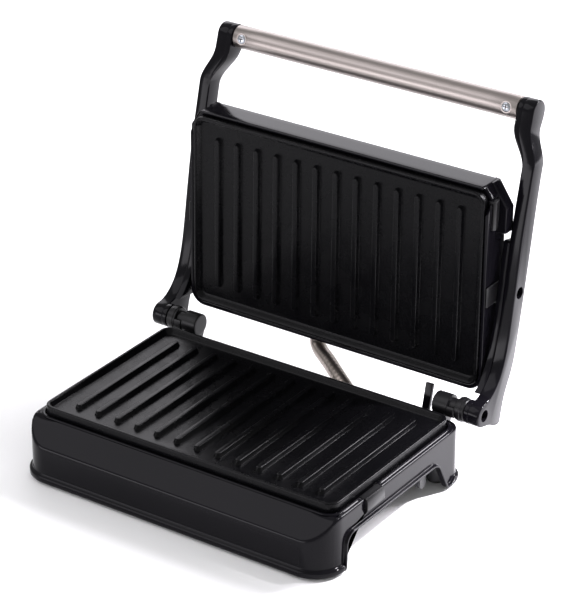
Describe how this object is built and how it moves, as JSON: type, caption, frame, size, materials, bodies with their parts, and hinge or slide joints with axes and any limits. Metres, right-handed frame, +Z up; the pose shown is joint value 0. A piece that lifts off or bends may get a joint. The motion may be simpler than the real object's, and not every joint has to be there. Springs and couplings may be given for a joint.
{
  "type": "panini press",
  "caption": "Hinged contact grill, open: ribbed lower and upper plates, black housings, side arms carrying a floating lid, and a round steel grip bar.",
  "frame": {"origin": "on the surface the press stands on, under the middle of its bounding box in the open pose", "axes": "+X to the right of somebody using it, +Y back towards the hinge and the open lid, +Z up"},
  "size_m": [0.265, 0.2506, 0.2432],
  "materials": {
    "gloss_black": "glossy black phenolic, slightly warm",
    "satin_black": "satin black moulded plastic",
    "non_stick": "die-cast aluminium with a dark non-stick coating",
    "grip_steel": "brushed along the tube",
    "zinc_steel": "bright zinc plated",
    "sheet_steel": "plain sheet",
    "heater_steel": "heat-darkened sheath",
    "conduit_steel": "flexible wound steel",
    "rubber": "matt black",
    "painted_steel": "black powder-coated sheet steel",
    "reflector_aluminium": "plain aluminium sheet",
    "ceramic": "unglazed ceramic",
    "red_lens": "clear red",
    "green_lens": "clear green"
  },
  "bodies": {
    "arms": {"arm_cover_left": "gloss_black", "arm_cover_right": "gloss_black", "arm_left": "gloss_black", "arm_right": "gloss_black", "handle_bar": "grip_steel", "handle_screw_left": "zinc_steel", "handle_screw_right": "zinc_steel", "handle_socket_left": "gloss_black", "handle_socket_right": "gloss_black", "hinge_collar_left": "gloss_black", "hinge_collar_right": "gloss_black", "hinge_pin_left": "zinc_steel", "hinge_pin_right": "zinc_steel", "lid_pivot_pin_left": "satin_black", "lid_pivot_pin_right": "satin_black"},
    "base": {"base_housing": "gloss_black", "bottom_cover": "painted_steel", "conduit_gland_base": "satin_black", "cover_screw_front_left": "zinc_steel", "cover_screw_front_right": "zinc_steel", "cover_screw_rear_left": "zinc_steel", "cover_screw_rear_right": "zinc_steel", "foot_front_left": "rubber", "foot_front_right": "rubber", "foot_rear_left": "rubber", "foot_rear_right": "rubber", "hinge_barrel_left": "satin_black", "hinge_barrel_right": "satin_black", "lever_bracket": "satin_black", "lower_heating_element": "heater_steel", "lower_latch_spring": "zinc_steel", "lower_plate": "non_stick", "lower_reflector": "sheet_steel", "lower_thermostat": "ceramic", "mains_inlet": "satin_black", "terminal_block": "ceramic", "thermal_fuse": "ceramic", "wiring_conduit": "conduit_steel"},
    "lid": {"conduit_gland_lid": "satin_black", "lid_cover": "gloss_black", "pivot_bracket_left": "satin_black", "pivot_bracket_right": "satin_black", "power_lamp": "red_lens", "ready_lamp": "green_lens", "upper_heating_element": "heater_steel", "upper_latch_spring": "zinc_steel", "upper_plate": "non_stick", "upper_reflector": "reflector_aluminium", "upper_thermostat": "ceramic"},
    "release_lever": {"hinge_release_lever": "gloss_black"},
    "lower_latch": {"lower_plate_latch": "satin_black"},
    "upper_latch": {"upper_plate_latch": "satin_black"}
  },
  "joints": [
    {"name": "arm_hinge", "type": "hinge", "parent": "base", "child": "arms", "pos_m": [0, 0.0468, 0.0468], "axis": [1, 0, 0], "range_deg": [0, 103.2], "deforming": ["wiring_conduit"]},
    {"name": "lid_tilt", "type": "hinge", "parent": "arms", "child": "lid", "pos_m": [0, 0.08699, 0.12006], "axis": [1, 0, 0], "range_deg": [-12.5, 0], "deforming": ["wiring_conduit"]},
    {"name": "lower_latch_slide", "type": "slide", "parent": "base", "child": "lower_latch", "axis": [1, 0, 0], "range_m": [0, 0.003], "stiffness_N_per_m": 600},
    {"name": "upper_latch_slide", "type": "slide", "parent": "lid", "child": "upper_latch", "axis": [1, 0, 0], "range_m": [0, 0.0025], "stiffness_N_per_m": 600},
    {"name": "release_lever_pivot", "type": "hinge", "parent": "base", "child": "release_lever", "pos_m": [0.0832, 0.0438, 0.028], "axis": [1, 0, 0], "range_deg": [-12, 0], "stiffness_Nm_per_rad": 0.2}
  ],
  "couplings": [
    {"joint": "lid_tilt", "follows": "arm_hinge", "ratio": -0.11919}
  ]
}
